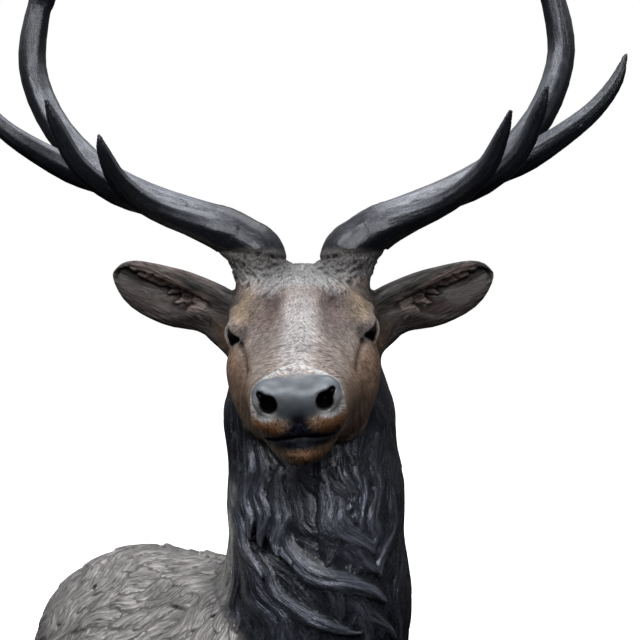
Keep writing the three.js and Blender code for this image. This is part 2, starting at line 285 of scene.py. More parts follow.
def head_distance(p):
    q = head_frame(p)
    s = one_side(q)
    d = egg(q, (0, -50, 4), (78, 92, 64))  # braincase
    d = smooth_min(d, egg(q, (0, 2, 10), (62, 78, 42)), 24)  # forehead
    d = smooth_min(d, egg(s, (57, -4, 13), (27, 32, 25)), 18)  # brow ridge
    d = smooth_min(d, limb(q, (0, 40, 14), (0, 205, -17), 32, 26), 24)  # nasal bridge
    d = smooth_min(d, limb(q, (0, 70, -28), (0, 196, -38), 50, 41), 24)  # muzzle
    d = smooth_min(d, egg(s, (44, 5, -62), (41, 80, 64)), 24)  # cheek
    d = smooth_min(d, limb(s, (42, 20, -46), (16, 196, -40), 42, 30), 26)  # face
    d = smooth_min(d, limb(s, (38, -48, -98), (16, 178, -70), 36, 20), 22)  # jaw
    d = smooth_max(d, -egg(s, (47, 66, 38), (13, 44, 16)), 24)  # hollow beside the bridge
    near = s[:, 1] > 120
    if near.any():
        d[near] = muzzle_end(q[near], s[near], d[near])
    near = (s[:, 0] > 25) & (s[:, 1] > -60) & (s[:, 1] < 110)
    if near.any():
        d[near] = eye_region(s[near], d[near])
    return d


NOSE_PAD = (0, 224, -19)
NOSE_WING = (31, 226, -15)
NOSE_FOLD = ((46, 212, -34), (46, 213, -20), (42, 214, -8), (31, 213, 0), (14, 210, 6), (0, 207, 9))
FOLD_R = 3.6


def nose_fold(s):
    """Distance to the middle line of the fold over the nose."""
    return np.min([limb(s, a, b, 0, 0) for a, b in zip(NOSE_FOLD[:-1], NOSE_FOLD[1:])], axis=0)


def muzzle_end(q, s, d):
    """Adds the lips, mouth, nose pad and nostrils to the head's distance."""
    d = smooth_min(d, egg(s, (22, 208, -44), (26, 32, 17)), 12)  # upper lip
    d = smooth_min(d, egg(q, (0, 188, -79), (30, 40, 23)), 12)  # chin
    slit = np.abs(q[:, 2] + 59 + 0.0028 * q[:, 0] ** 2) - 1.0
    mouth = smooth_max(egg(q, (0, 190, -60), (56, 60, 26)), slit, 1)
    d = smooth_max(d, -mouth, 4)
    d = smooth_min(d, egg(q, NOSE_PAD, (39, 23, 22)), 6)  # nose pad
    d = smooth_min(d, egg(s, NOSE_WING, (16, 16, 18)), 8)  # nostril wing
    d = smooth_min(d, nose_fold(s) - FOLD_R, 4)
    d = smooth_max(d, -egg(s, (29, 241, -20.5), (9.0, 24, 10.5)), 2)  # nostril
    d = smooth_max(d, -limb(s, (31, 242, -16), (38, 236, -9), 5.5, 3.0), 2)  # its slot
    return smooth_max(d, -limb(q, (0, 252, -32), (0, 242, -56), 2.0, 3.0), 6)  # philtrum


def tear_line(s):
    """How far from the crease that runs down from the inner corner of the eye, seen from ahead."""
    flat = s * np.array([1, 0, 1], s.dtype)
    a, b, c = ((x, 0, z) for x, z in TEAR)
    return np.minimum(limb(flat, a, b, 0, 0), limb(flat, b, c, 0, 0))


def eye_region(s, d):
    """Adds the lobe below the eye, the ball between its lids, the brow and the tear crease."""
    d = smooth_min(d, egg(s, (66, 20, -33), (17, 34, 18)), 20)  # lobe below the eye
    e = eye_frame(s)
    ball = length_of(e)
    opening = almond(e)
    d = smooth_min(d, ball - (EYE_R + 1.5), 8)
    lid = np.sqrt((opening - 2.5) ** 2 + (ball - EYE_R - 0.6) ** 2 + np.maximum(-e[:, 2], 0) ** 2) - 2.6
    d = smooth_min(d, lid, 2)
    hole = np.maximum(opening, 4.0 - e[:, 2])
    d = smooth_max(d, -hole, 1.5)
    d = np.minimum(d, ball - EYE_R)
    d = smooth_min(d, limb(s, (79, -12, 20), (74, 24, 12), 7, 7), 8)  # brow
    return d + 2.6 * bump(tear_line(s), 0, 3.4) * (s[:, 1] > 12)


# ---- neck and mane

NECK_R = 112.0
NECK_GIRTH = 2 * math.pi * NECK_R
MANE_DEPTH = 12.0


def neck_form(p):
    d = limb(p, (1, 64, -12), (16, 92, -200), 84, 106)
    d = smooth_min(d, limb(p, (16, 92, -200), (18, 100, -330), 106, 113), 30)
    d = smooth_min(d, limb(p, (18, 100, -330), (18, 112, -520), 113, 119), 30)
    d = smooth_min(d, egg(p, (7, 84, -105), (108, 78, 84)), 30)  # ruff beside the cheeks
    return smooth_min(d, egg(p, (16, 30, -300), (90, 80, 190)), 40)  # throat mane


def neck_chart(p):
    t = np.clip((-12 - p[:, 2]) / 188, 0, 1)
    a = NECK_R * np.arctan2(p[:, 0] - (1 + 16 * t), 64 + 28 * t - p[:, 1])
    return a, p[:, 2]


def wavy(a, z):
    """Bends the unrolled neck, so that locks laid straight on it run in waves."""
    bend = 7 * np.sin(z / 24 + a / 47) + 3 * np.sin(z / 9.5 - a / 31 + 1)
    return a + bend * smooth_step(-z, 60, 160), z + 4 * np.sin(a / 17 + z / 60)


def mane_flow(a, z):
    t = a / NECK_R
    upper = smooth_step(z, -360, -300)
    return 0.72 * bump(t, -0.45, 0.6) - 0.42 * bump(t, 1.0, 0.5) * upper


BIG_LOCKS = (
    # width, height, then points around and along the neck
    (36, 8, (-133, -165), (-140, -224), (-148, -283), (-146, -341), (-138, -420)),
    (30, 10, (-120, -205), (-113, -271), (-104, -318), (-90, -375), (-80, -440)),
    (30, 14, (-132, -186), (-98, -220), (-77, -257), (-56, -292)),
    (42, 12, (-98, -258), (-77, -300), (-52, -332), (-28, -372), (-10, -430)),
    (26, 16, (-56, -268), (-44, -306), (-20, -328), (4, -337), (36, -350)),
    (36, 17, (-24, -228), (-15, -264), (10, -282), (40, -296), (74, -322)),
    (30, 13, (2, -196), (14, -233), (39, -261), (72, -290)),
    (24, 12, (-27, -196), (-33, -235), (-20, -270)),
    (28, 13, (-49, -160), (-42, -200), (-29, -230), (-31, -262)),
    (30, 13, (-78, -140), (-68, -182), (-52, -218), (-46, -256)),
    (28, 13, (-106, -122), (-94, -165), (-76, -206), (-62, -250)),
    (38, 15, (16, -158), (7, -200), (27, -238), (57, -264)),
    (30, 14, (102, -134), (76, -176), (55, -218), (53, -262)),
    (28, 13, (120, -158), (98, -206), (76, -247), (70, -292)),
    (30, 10, (136, -195), (124, -247), (106, -294), (100, -345)),
    (26, 12, (46, -140), (34, -176), (24, -214)),
    (26, 13, (72, -122), (56, -165), (41, -200), (40, -238)),
    (26, 13, (30, -314), (52, -335), (86, -370)),
    (30, 12, (72, -298), (90, -330), (106, -372), (112, -430)),
    (32, 13, (-30, -340), (0, -372), (34, -395), (60, -440)),
)


def mane_relief():
    random = Seeded(7)
    relief = Relief((-NECK_GIRTH / 2 - 60, BASE_Z - 30), (NECK_GIRTH / 2 + 60, 60), 1.0)
    for width, height, *points in BIG_LOCKS:
        relief.add(smooth_line(points, 4 * len(points)), width, height, 0.35, 3, 2.6)
    z = -95.0
    while z > BASE_Z - 40:
        for i in range(21):
            a = (i / 21 - 0.5) * NECK_GIRTH + (random() - 0.5) * 16
            front = max(bump(a / NECK_R, 0.2, 1.1), 0.3)
            drop = (random() - 0.5) * 20
            length = 85 + 70 * random()
            width = 32 + 16 * random()
            height = MANE_DEPTH * (0.65 + 0.35 * random()) * front
            sway = 0.25 + 0.45 * random()
            path = lock_path(mane_flow, a, z + drop, length, sway, 2 * math.pi * random())
            for turn in (0, -NECK_GIRTH, NECK_GIRTH):
                whole = [(x + turn, y) for x, y in path]
                relief.add(whole, width, height, strands=4, strand_depth=2.0)
        z -= 42.0
    return relief


def neck_distance(p, mane):
    a, z = neck_chart(p)
    height = mane.at("height", *wavy(a, z)) - MANE_DEPTH / 3
    return neck_form(p) - height * smooth_step(-z, 35, 85)


# ---- withers and back

TORSO_FRONT = np.array([-12.0, 150, -450])
TORSO_BACK = np.array([-205.0, 190, -440])
TORSO_AXIS = unit(TORSO_BACK - TORSO_FRONT)
TORSO_SIDE = unit(np.cross((0, 0, 1), TORSO_AXIS))
TORSO_UP = np.cross(TORSO_AXIS, TORSO_SIDE)
TORSO_R = 151.0
TUFT_DEPTH = 6.0


def torso_form(p):
    d = limb(p, TORSO_FRONT, TORSO_BACK, 138, 152)
    return smooth_min(d, egg(p, (-60, 60, -440), (120, 90, 110)), 40)  # near shoulder


def torso_chart(p):
    q = p - TORSO_FRONT.astype(p.dtype)
    around = TORSO_R * np.arctan2(q @ TORSO_SIDE.astype(p.dtype), q @ TORSO_UP.astype(p.dtype))
    return around, -(q @ TORSO_AXIS.astype(p.dtype))


def tuft_flow(around, along):
    return 0.9 + 0.25 * math.sin(along / 45 + around / 60)


def tuft_relief():
    random = Seeded(23)
    relief = Relief((-420, -480), (420, 60), 1.0)
    z = 20.0
    while z > -420:
        a = -300.0
        while a < 300:
            start = a + (random() - 0.5) * 16
            drop = (random() - 0.5) * 18
            length = 50 + 35 * random()
            width = 24 + 10 * random()
            height = TUFT_DEPTH * (0.6 + 0.4 * random())
            path = lock_path(tuft_flow, start, z + drop, length, 0.35, 2 * math.pi * random())
            relief.add(path, width, height, strands=3, strand_depth=1.6)
            a += 30.0
        z -= 30.0
    return relief


def ruffled(around, along):
    """Bends the unrolled back, so that its tufts flicker."""
    bend = 5 * np.sin(along / 15 + around / 33)
    return around + bend, along + 5 * np.sin(around / 19 - along / 41)


def torso_distance(p, tufts):
    around, along = torso_chart(p)
    tuft = 1.5 * tufts.at("height", *ruffled(around, along)) - TUFT_DEPTH / 2
    last = float(np.linalg.norm(TORSO_BACK - TORSO_FRONT)) + 150
    fade = smooth_step(along, -last, 30 - last)
    return torso_form(p) - tuft * fade


# ---- ears

EAR_ROOT = np.array([96.0, 66, 10])
EAR_TIP = np.array([241.0, 92, 72])
EAR_EDGES = np.array([
    # along from root to tip, upper edge, lower edge, opening's upper edge, opening's lower edge
    (-30, 26, -44, 10, 10),
    (0, 38, -30, 11, 9),
    (18, 41, -23, 14, 8),
    (30, 41.5, -26, 18, 3),
    (45, 41.5, -30, 21, -6),
    (60, 41, -34, 23.5, -15),
    (75, 39.5, -36, 25, -24),
    (90, 37, -36, 26, -29),
    (105, 34.5, -35, 27, -31),
    (120, 31.5, -32, 26, -28.5),
    (133, 28, -26.5, 22, -23),
    (143, 23, -19, 17, -15),
    (150, 17, -12, 11, -8),
    (154, 10, -6, 4, -1),
    (156, 4, 0, 2, 2),
], float)


def ear_edges(along):
    """The two edges of the ear and the two of its opening, at a place between root and tip."""
    return (np.interp(along, EAR_EDGES[:, 0], edge) for edge in EAR_EDGES[:, 1:].T)


def ear_frame(side):
    """The ear's root and its three ways: towards the tip, up across it and out of its cup."""
    flip = np.array([side, 1, 1])
    root, tip = EAR_ROOT * flip, EAR_TIP * flip
    along = unit(tip - root)
    cup = np.array([0.16 * side, -0.95, -0.22])
    cup = unit(cup - along * (cup @ along))
    up = np.cross(along, cup)
    up = up * np.sign(up[2])
    return root, np.stack([along, up, cup])


def ear_tufts():
    """Tufts that hang from the upper rim over the hollow, in two rows."""
    random = Seeded(5)
    relief = Relief((-10, -50), (170, 60), 0.8)
    for row, (reach, height) in enumerate(((30, 7.0), (19, 11.0))):
        for i in range(9):
            a = 32 + 11.5 * i + 5 * row + 4 * random()
            top = list(ear_edges(a))[2] + 2
            length = reach * (0.8 + 0.4 * random()) * min(1.0, (158 - a) / 50)
            lean = 0.45 + 0.4 * random()
            path = lock_path(lambda *place: lean, a, top, length, 0.6, 3 * random())
            relief.add(path, 12, height, 0.9, 3, 1.0)
    return relief


def ear_distance(p, side, tufts):
    """A cupped leaf on a stem, hollow between its rims, with tufts of hair over the hollow."""
    root, axes = ear_frame(side)
    q = (p - root.astype(p.dtype)) @ axes.T.astype(p.dtype)
    a, b, c = q[:, 0], q[:, 1], q[:, 2]
    upper, lower, rim, sill = ear_edges(a)
    middle, half = (upper + lower) / 2, np.maximum((upper - lower) / 2, 0.5)
    x = (b - middle) / half
    body = np.sqrt(np.maximum(1 - x * x, 0))
    taper = smooth_step(160 - a, 0, 90)
    back = -2 - (6 + 20 * taper) * body**1.2
    lip = 4 + 9 * smooth_step(x, 0.0, 0.8) * taper + 3 * body
    span = np.maximum(rim - sill, 0.1)
    w = (rim - b) / span
    depth = (9 + 11 * taper) * smooth_step(w, 0, 0.16) * smooth_step(1 - w, 0, 0.7)
    depth = depth * smooth_step(span, 4, 22)
    floor = lip - depth
    hairs = tufts.at("height", a, b) * smooth_step(span, 6, 24)
    front = np.maximum(floor, np.minimum(floor + hairs, lip - 1.5))
    slab = smooth_max(c - front, back - c, 3) * 0.7
    edge = (np.abs(x) - 1) * half * 0.8
    d = smooth_max(slab, edge, 5)
    d = smooth_max(d, np.maximum(a - 157, -30 - a), 3)
    stem = limb(q, (-52, -14, -6), (2, 2, -6), 34, 29)
    stem = smooth_min(stem, limb(q, (2, 2, -6), (34, 4, -8), 29, 16), 10)
    stem = smooth_max(stem, c - 4, 12)
    return smooth_min(d, stem, 12)


# ---- antlers

PEDICLE_TOP = np.array([51.0, 45, 97])
ANTLER_DROP = math.radians(4)
BROW_SHORTER = 0.88
PEDICLE = ((44, 50, 10, 30), (48, 48, 46, 32), (52, 46, 70, 31.5), (56, 46, 90, 32.5))
ANTLER = {
    "beam": (
        (48, 47, 70, 31), (57, 46, 96, 32), (70, 46, 108, 30.5), (94, 50, 126, 28), (123, 58, 140, 24.5),
        (190, 80, 173, 20), (248, 105, 210, 19.5), (302, 132, 272, 18.5), (332, 155, 342, 17.5),
        (332, 162, 400, 17), (310, 166, 480, 13),
    ),
    "brow": (
        (84, 40, 119, 23), (118, 34, 131, 18), (174, 8, 154, 13.5), (213, -28, 186, 12.5),
        (231, -58, 226, 7.5), (238, -72, 250, 2.2),
    ),
    "bez": (
        (134, 56, 148, 17), (168, 52, 158, 14), (220, 24, 176, 12.5), (258, -6, 210, 11.5),
        (277, -28, 255, 8.5), (285, -40, 284, 2.2),
    ),
    "trez": (
        (240, 103, 200, 18), (284, 97, 218, 17), (338, 76, 253, 13.5), (367, 66, 279, 11),
        (387, 60, 308, 8), (397, 56, 338, 2.2),
    ),
    "crown_inner": ((318, 165, 449, 16), (292, 132, 520, 10), (284, 118, 548, 2.2)),
    "crown_outer": ((316, 166, 455, 16), (336, 192, 532, 9.5), (345, 198, 560, 2.2)),
    "crown_top": ((312, 166, 470, 15), (288, 186, 552, 9), (284, 190, 578, 2.2)),
}


def shorter(points, share):
    """The same tine from its second point on, brought in towards that point by degrees."""
    k = 1 + (share - 1) * np.clip(np.arange(-1, len(points) - 1) / (len(points) - 2), 0, 1)
    points[:, :3] = points[1, :3] + (points[:, :3] - points[1, :3]) * k[:, None]


def antler_lines(side):
    """Smooth centre lines with radii. The antler at -X is mirrored and swung down a little."""
    c, s = math.cos(ANTLER_DROP), math.sin(ANTLER_DROP)
    lines = {}
    for name, points in ANTLER.items():
        points = np.array(points, float)
        if side < 0:
            if name == "brow":
                shorter(points, BROW_SHORTER)
            dx, dz = points[:, 0] - PEDICLE_TOP[0], points[:, 2] - PEDICLE_TOP[2]
            points[:, 0] = -(PEDICLE_TOP[0] + c * dx + s * dz)
            points[:, 2] = PEDICLE_TOP[2] + c * dz - s * dx
        lines[name] = smooth_line(points, 3 * (len(points) - 1))
    return lines


def reach_of(p):
    """Lowest and highest corner of some points."""
    return tuple(np.array([f(p[:, k]) for k in range(3)]) for f in (np.min, np.max))


def tube_distance(p, line, corners=None):
    """Distance to a line of limbs. Limbs too far from all the points are left out."""
    d = np.full(len(p), FAR, p.dtype)
    low, high = corners or reach_of(p)
    for a, b in zip(line[:-1], line[1:]):
        room = max(a[3], b[3]) + 28
        gap = np.maximum(np.minimum(a[:3], b[:3]) - high, low - np.maximum(a[:3], b[:3]))
        if gap.max() < room:
            d = np.minimum(d, limb(p, a[:3], b[:3], a[3], b[3]))
    return d


def antler_distance(p, lines):
    corners = reach_of(p)
    d = tube_distance(p, lines["beam"], corners)
    for name, line in lines.items():
        gap = np.maximum(line[:, :3].min(0) - corners[1], corners[0] - line[:, :3].max(0)).max()
        if name != "beam" and gap < 80:
            d = smooth_min(d, tube_distance(p, line, corners), 4)
    return d


def pedicle_distance(p, side):
    line = smooth_line([(side * x, y, z, r) for x, y, z, r in PEDICLE], 6)
    return tube_distance(p, line)


# ---- the whole form


class Stag:
    """The bust as one signed distance in millimetres."""

    def __init__(self):
        self.mane = mane_relief()
        self.tufts = tuft_relief()
        self.ear_hair = ear_tufts()
        self.antlers = {side: antler_lines(side) for side in (1, -1)}

    def forms(self):
        """Each form's distance, the box beyond which it can't matter, and how softly it joins."""
        yield head_distance, (-190, -330, -260), (190, 220, 150), 1
        yield lambda x: neck_distance(x, self.mane), (-180, -150, -560), (220, 300, 140), 9
        yield lambda x: torso_distance(x, self.tufts), (-460, -120, -660), (230, 420, -240), 26
        for side in (1, -1):
            inner, outer = sorted((side * 10, side * 330))
            yield lambda x: ear_distance(x, side, self.ear_hair), (inner, -40, -90), (outer, 190, 170), 12
            inner, outer = sorted((side * -20, side * 120))
            yield lambda x: pedicle_distance(x, side), (inner, -30, -30), (outer, 120, 180), 14
            inner, outer = sorted((side * 0, side * 470))
            antler = self.antlers[side]
            yield lambda x: antler_distance(x, antler), (inner, -140, 20), (outer, 270, 660), 6

    def distance(self, p):
        if len(p) > CHUNK:
            parts = np.array_split(p, -(-len(p) // CHUNK))
            with ThreadPoolExecutor(4) as pool:
                return np.concatenate(list(pool.map(self.distance, parts)))
        d = np.full(len(p), FAR, p.dtype)
        lowest, highest = reach_of(p)
        for form, low, high, blend in self.forms():
            if (highest > low).all() and (lowest < high).all():
                d = smooth_min(d, form(p), blend)
        return np.maximum(d, BASE_Z - p[:, 2])


BLOCK = 8
CHUNK = 16384
BAND = 3.0  # voxels of distance kept on each side of the surface
SLOPE = 1.35  # the distance changes no faster than this


def corner_of(cell):
    return tuple(int(x) for x in cell * BLOCK)


def mesh_form(distance, low, high, voxel):
    """Points and quads of the surface where the distance is nought, worked out block by block."""
    low, high = np.array(low, float), np.array(high, float)
    counts = np.ceil((high - low) / voxel / BLOCK).astype(int)
    cells = np.stack(np.meshgrid(*[np.arange(n) for n in counts], indexing="ij"), -1).reshape(-1, 3)
    middle = distance((low + (cells * BLOCK + (BLOCK - 1) / 2) * voxel).astype(np.float32))
    band = BAND * voxel
    reach = BLOCK / 2 * voxel * 1.7321 * SLOPE + band
    grid = openvdb.FloatGrid(band)
    for cell in cells[middle <= -reach]:
        grid.fill(corner_of(cell), tuple(x + BLOCK - 1 for x in corner_of(cell)), -band, False)
    near = cells[np.abs(middle) < reach]
    near = near[np.lexsort((near // 4).T)]
    local = np.stack(np.meshgrid(*[np.arange(BLOCK)] * 3, indexing="ij"), -1).reshape(-1, 3)
    for start in range(0, len(near), 2048):
        chunk = near[start : start + 2048]
        places = (chunk[:, None, :] * BLOCK + local[None]).reshape(-1, 3)
        d = distance((low + places * voxel).astype(np.float32))
        d = np.clip(d, -band, band).reshape(len(chunk), BLOCK, BLOCK, BLOCK)
        for k, cell in enumerate(chunk):
            if d[k].min() < band:
                grid.copyFromArray(np.ascontiguousarray(d[k], np.float32), ijk=corner_of(cell))
    points, triangles, quads = grid.convertToPolygons(isovalue=0.0, adaptivity=0.0)
    return np.asarray(points) * voxel + low, np.asarray(quads)


CORNERS = np.array([(1, -1, -1), (-1, -1, 1), (-1, 1, -1), (1, 1, 1)], np.float32)


def settle(distance, p, step=0.5):
    """Moves points onto the surface, and gives the way that it faces there."""
    values = [distance(p + step * corner) for corner in CORNERS]
    slope = sum(corner * value[:, None] for corner, value in zip(CORNERS, values)) / (4 * step)
    size = np.maximum(np.einsum("ij,ij->i", slope, slope), 0.25)
    move = -(sum(values) / 4 / size)[:, None] * slope
    return p + np.clip(move, -1.5, 1.5), slope / np.sqrt(size)[:, None]


def stamps(p, places, faces, flow, random, length, width, height, bow):
    """Small comma-shaped tufts: how high each point stands when they are laid at those places."""
    high = np.zeros(len(p), np.float32)
    for centre, facing in zip(places, faces):
        ahead = flow(centre) + 0.7 * (random() - 0.5) * np.cross(facing, flow(centre))
        ahead = unit(ahead - facing * (ahead @ facing))
        side = np.cross(facing, ahead)
        long, wide = length * (0.7 + 0.6 * random()), width * (0.8 + 0.4 * random())
        bend = bow * (random() - 0.5) * 2 / long
        q = p - centre.astype(np.float32)
        near = np.flatnonzero(np.einsum("ij,ij->i", q, q) < (0.62 * long) ** 2)
        u, v = q[near] @ ahead.astype(np.float32), q[near] @ side.astype(np.float32)
        s = np.clip(u / long + 0.5, 0, 1)
        leaf = np.sin(np.pi * (0.1 + 0.88 * s)) ** 0.7
        x = np.abs(v - bend * u * u) / (0.5 * wide * leaf)
        dome = height * (0.4 + 0.6 * s) * np.sqrt(np.maximum(1 - x * x, 0)) * (np.abs(u) < long / 2)
        high[near] = np.maximum(high[near], dome)
    return high


def spread(p, normal, mask, gap, random):
    """Places on the masked part of the surface, about that far apart."""
    pool = np.flatnonzero(mask)
    cell = np.floor(p[pool] / gap).astype(np.int64)
    key = (cell[:, 0] * 4096 + cell[:, 1]) * 4096 + cell[:, 2]
    order = np.argsort(key, kind="stable")
    starts = np.flatnonzero(np.diff(key[order], prepend=-1))
    counts = np.diff(np.append(starts, len(order)))
    picked = [pool[order[s + int(random() * c)]] for s, c in zip(starts, counts) if c > 2]
    return p[picked], normal[picked]


def antler_chart(stag, p):
    """Along and around the nearest antler line, in millimetres, for points on the antlers."""
    along = np.zeros(len(p), np.float32)
    around = np.zeros(len(p), np.float32)
    best = np.full(len(p), FAR, np.float32)
    for side in (1, -1):
        mine = np.flatnonzero(p[:, 0] * side > -10)
        q = p[mine]
        for name, line in stag.antlers[side].items():
            travelled = 0.0
            for a, b in zip(line[:-1], line[1:]):
                axis = b[:3] - a[:3]
                size = np.linalg.norm(axis)
                away = limb(q, a[:3], b[:3], a[3], b[3])
                near = np.flatnonzero(away < best[mine] - 0.05)
                if len(near):
                    r = q[near] - a[:3].astype(np.float32)
                    first = unit(np.cross(axis, (0.0, 1.0, 0.2)))
                    second = np.cross(axis / size, first)
                    around[mine[near]] = np.arctan2(r @ first, r @ second)
                    along[mine[near]] = travelled + r @ (axis / size)
                    best[mine[near]] = away[near]
                travelled += size
    return along, around, best


def on_antler(p, away):
    """1 on the antlers, falling to 0 at their bases."""
    return smooth_step(4 - away, 0, 3) * smooth_step(p[:, 2], 92, 100)


CURL = {"length": 12.0, "width": 5.5, "height": 3.4, "bow": 1.1}
CURL_SINK = 1.2
BURR_Z = 84
BURR_DEPTH = 2.6


def poll_flow(place):
    """The curls part at the middle of the poll and fall forward."""
    return unit((0.8 * np.tanh(place[0] / 40), -0.7, -0.3 + 0.5 * (place[2] > 60)))


def fine_relief(stag, p, normal):
    """Small carving laid on the finished surface: curls on the poll, grain along the antlers."""
    random = Seeded(41)
    q = head_frame(p)
    low = p[:, 2] < 94 - 0.25 * np.abs(np.abs(p[:, 0]) - 52)
    poll = (q[:, 2] > 44 - 0.12 * q[:, 1]) & low & (np.abs(q[:, 0]) < 96)
    poll &= (q[:, 1] > -150) & (q[:, 1] < 22)
    rise = np.zeros(len(p), np.float32)
    mine = np.flatnonzero(poll)
    if len(mine):
        places, faces = spread(p, normal, poll, 6.5, random)
        rise[mine] = stamps(p[mine], places, faces, poll_flow, random, **CURL) - CURL_SINK
    by_antler = np.hypot(np.abs(p[:, 0]) - 54, p[:, 1] - 46) < 50
    rise = rise - BURR_DEPTH * bump(p[:, 2] - 0.12 * np.abs(p[:, 0]), BURR_Z, 2.6) * by_antler
    hard = np.flatnonzero(p[:, 2] > 88)
    along, around, away = antler_chart(stag, p[hard])
    shaft = smooth_step(4 - away, 0, 3) * smooth_step(p[hard, 2], 92, 104)
    grain = 0.35 * np.cos(9 * around + 0.012 * along) + 0.4 * np.cos(5 * around - 0.02 * along + 1.0)
    rise[hard] = rise[hard] + shaft * grain
    return rise


def new_mesh(name, points, faces):
    mesh = bpy.data.meshes.new(name)
    sides = faces.shape[1]
    mesh.vertices.add(len(points))
    mesh.vertices.foreach_set("co", np.ascontiguousarray(points, np.float32).ravel())
    mesh.loops.add(faces.size)
    mesh.loops.foreach_set("vertex_index", np.ascontiguousarray(faces, np.int32).ravel())
    mesh.polygons.add(len(faces))
    mesh.polygons.foreach_set("loop_start", np.arange(0, faces.size, sides, dtype=np.int32))
    mesh.polygons.foreach_set("loop_total", np.full(len(faces), sides, np.int32))
    mesh.update(calc_edges=True)
    return mesh


def points_of(mesh):
    co = np.zeros(len(mesh.vertices) * 3, np.float32)
    mesh.vertices.foreach_get("co", co)
    return co.reshape(-1, 3)


def thin(obj, triangles):
    """Collapses the mesh to about that many triangles."""
    have = sum(len(p.vertices) - 2 for p in obj.data.polygons)
    modifier = obj.modifiers.new("thin", "DECIMATE")
    modifier.ratio = min(1.0, triangles / have)
    modifier.use_collapse_triangulate = True
    thinned = bpy.data.meshes.new_from_object(obj.evaluated_get(bpy.context.evaluated_depsgraph_get()))
    obj.modifiers.clear()
    old = obj.data
    obj.data = thinned
    bpy.data.meshes.remove(old)


def store(mesh, name, values):
    kind = "FLOAT" if values.ndim == 1 else "FLOAT_VECTOR"
    attribute = mesh.attributes.new(name, kind, "POINT")
    key = "value" if values.ndim == 1 else "vector"
    attribute.data.foreach_set(key, np.ascontiguousarray(values, np.float32).ravel())


# ---- finish


def blot(q, centre, radii, edge=0.35):
    """1 inside an egg-shaped patch, falling to 0 across its soft edge."""
    r = np.linalg.norm((q - np.array(centre, np.float32)) / np.array(radii, np.float32), axis=1)
    return smooth_step(1 - r, -edge, edge)


def blend(colours, colour, share):
    share = np.clip(share, 0, 1)[:, None]
    return colours * (1 - share) + np.array(colour, np.float32) * share


class Places:
    """How far each point belongs to each part of the bust, and where it lies on that part."""

    def __init__(self, stag, p):
        self.q = head_frame(p)
        self.s = one_side(self.q)
        neck, torso, head = neck_form(p), torso_form(p), head_distance(p)
        self.off_neck = neck - head
        self.along_antler, self.around_antler, away = antler_chart(stag, p)
        self.antler = on_antler(p, away)
        ears = [(p - root) @ axes.T for root, axes in (ear_frame(side) for side in (1, -1))]
        self.pinna = np.where(p[:, :1] > 0, *ears).astype(np.float32)
        ear = np.minimum(*(ear_distance(p, side, stag.ear_hair) for side in (1, -1)))
        self.ear = smooth_step(5 - ear, 0, 4) * smooth_step(self.pinna[:, 0], -12, 6) * (1 - self.antler)
        self.body = smooth_step(neck - torso, -4, 12) * (p[:, 2] < -180)
        self.neck = smooth_step(-self.off_neck, -2, 5) * smooth_step(-p[:, 2], 10, 60)
        self.neck = self.neck * (1 - self.body) * (1 - self.ear)
        self.face = (1 - self.neck) * (1 - self.body) * (1 - self.antler) * (1 - self.ear)
        s = self.s
        nostril = blot(s, (29, 230, -20.5), (9.6, 30, 11), 0.1)
        self.nostril = np.maximum(nostril, blot(s, (36, 236, -11), (5, 9, 6), 0.3))
        pad = smooth_min(egg(self.q, NOSE_PAD, (40, 24, 23)), egg(s, NOSE_WING, (17, 17, 19)), 8)
        self.nose = smooth_step(-pad, -3.5, -0.5) * (self.q[:, 1] > 205)
        cup = blot(self.pinna, (82, -4, 8), (66, 30, 30), 0.25)
        self.inner = self.ear * cup * (self.pinna[:, 2] > -6)
        eyes = eye_frame(s.astype(np.float32))
        open_eye = (almond(eyes) < 0.8) * (eyes[:, 2] > 0)
        self.eye = smooth_step(-np.abs(length_of(eyes) - EYE_R), -1.0, -0.3) * open_eye
        a, z = neck_chart(p)
        self.round_neck, self.down_neck = a, -z
        self.mane = wavy(a, z)
        self.back = ruffled(*torso_chart(p))


def face_tints(at, p, look):
    """The head's colours, each over the one before it."""
    q, s, face = at.q, at.s, at.face
    height = q[:, 2] + 0.12 * q[:, 1]
    poll = smooth_step(height, 40, 62) * smooth_step(24 - q[:, 1], 0, 16) * face
    yield look.brown, face
    yield look.side, face * smooth_step(height, -18, 12)
    yield look.gold, face * blot(s, (66, 6, 30), (18, 40, 22)) * 0.8
    yield look.mauve, face * blot(s, (36, 30, 34), (22, 40, 30), 0.5) * 0.8
    yield look.silver, face * blot(q, (0, 100, 20), (22, 140, 40), 0.4)
    yield look.silver, face * blot(s, (66, 34, -36), (16, 22, 16)) * 0.5
    yield look.poll, poll
    yield look.ear, poll * smooth_step(p[:, 2] + 0.2 * np.abs(p[:, 0]), 62, 94) * 0.85
    # Painted highlight: a pale line along the edge of the jaw where it meets the neck.
    jaw = bump(at.off_neck, 9, 4) * smooth_step(q[:, 1], -30, 10) * (q[:, 2] < -20)
    yield look.silver, jaw * face * 0.85
    yield look.nose, at.nose
    lips = blot(q, (0, 215, -62), (46, 45, 15), 0.3) + blot(q, (0, 240, -46), (13, 22, 16), 0.4)
    yield look.navy, face * lips
    yield look.orange, face * blot(s, (33, 222, -46), (19, 34, 11), 0.4)
    yield look.orange, face * blot(q, (5, 214, -86), (24, 26, 10), 0.5) * 0.9
    yield look.rim, smooth_step(7 - nose_fold(s), 0, 3) * 0.9
    yield look.rim, face * blot(s, (35, 234, -32), (14, 20, 7), 0.3)
    yield look.rim, face * blot(s, (44, 226, -24), (7, 22, 12), 0.3) * 0.9
    # Painted shade: the nostrils are filled with near black.
    yield look.shade_and_eye_black, at.nostril
    # Painted shade darkens the tear crease that runs down from the eye.
    tear_shade = bump(tear_line(s), 0, 3.6) * (s[:, 1] > 12) * (s[:, 1] < 110)
    yield look.shade_and_eye_black, face * tear_shade * 0.5
    # Painted shade: the brow's shadow, laid round the eye in plum brown.
    yield look.plum_and_brow_shade, face * blot(s, (70, 18, 2), (18, 24, 14), 0.5) * 0.8


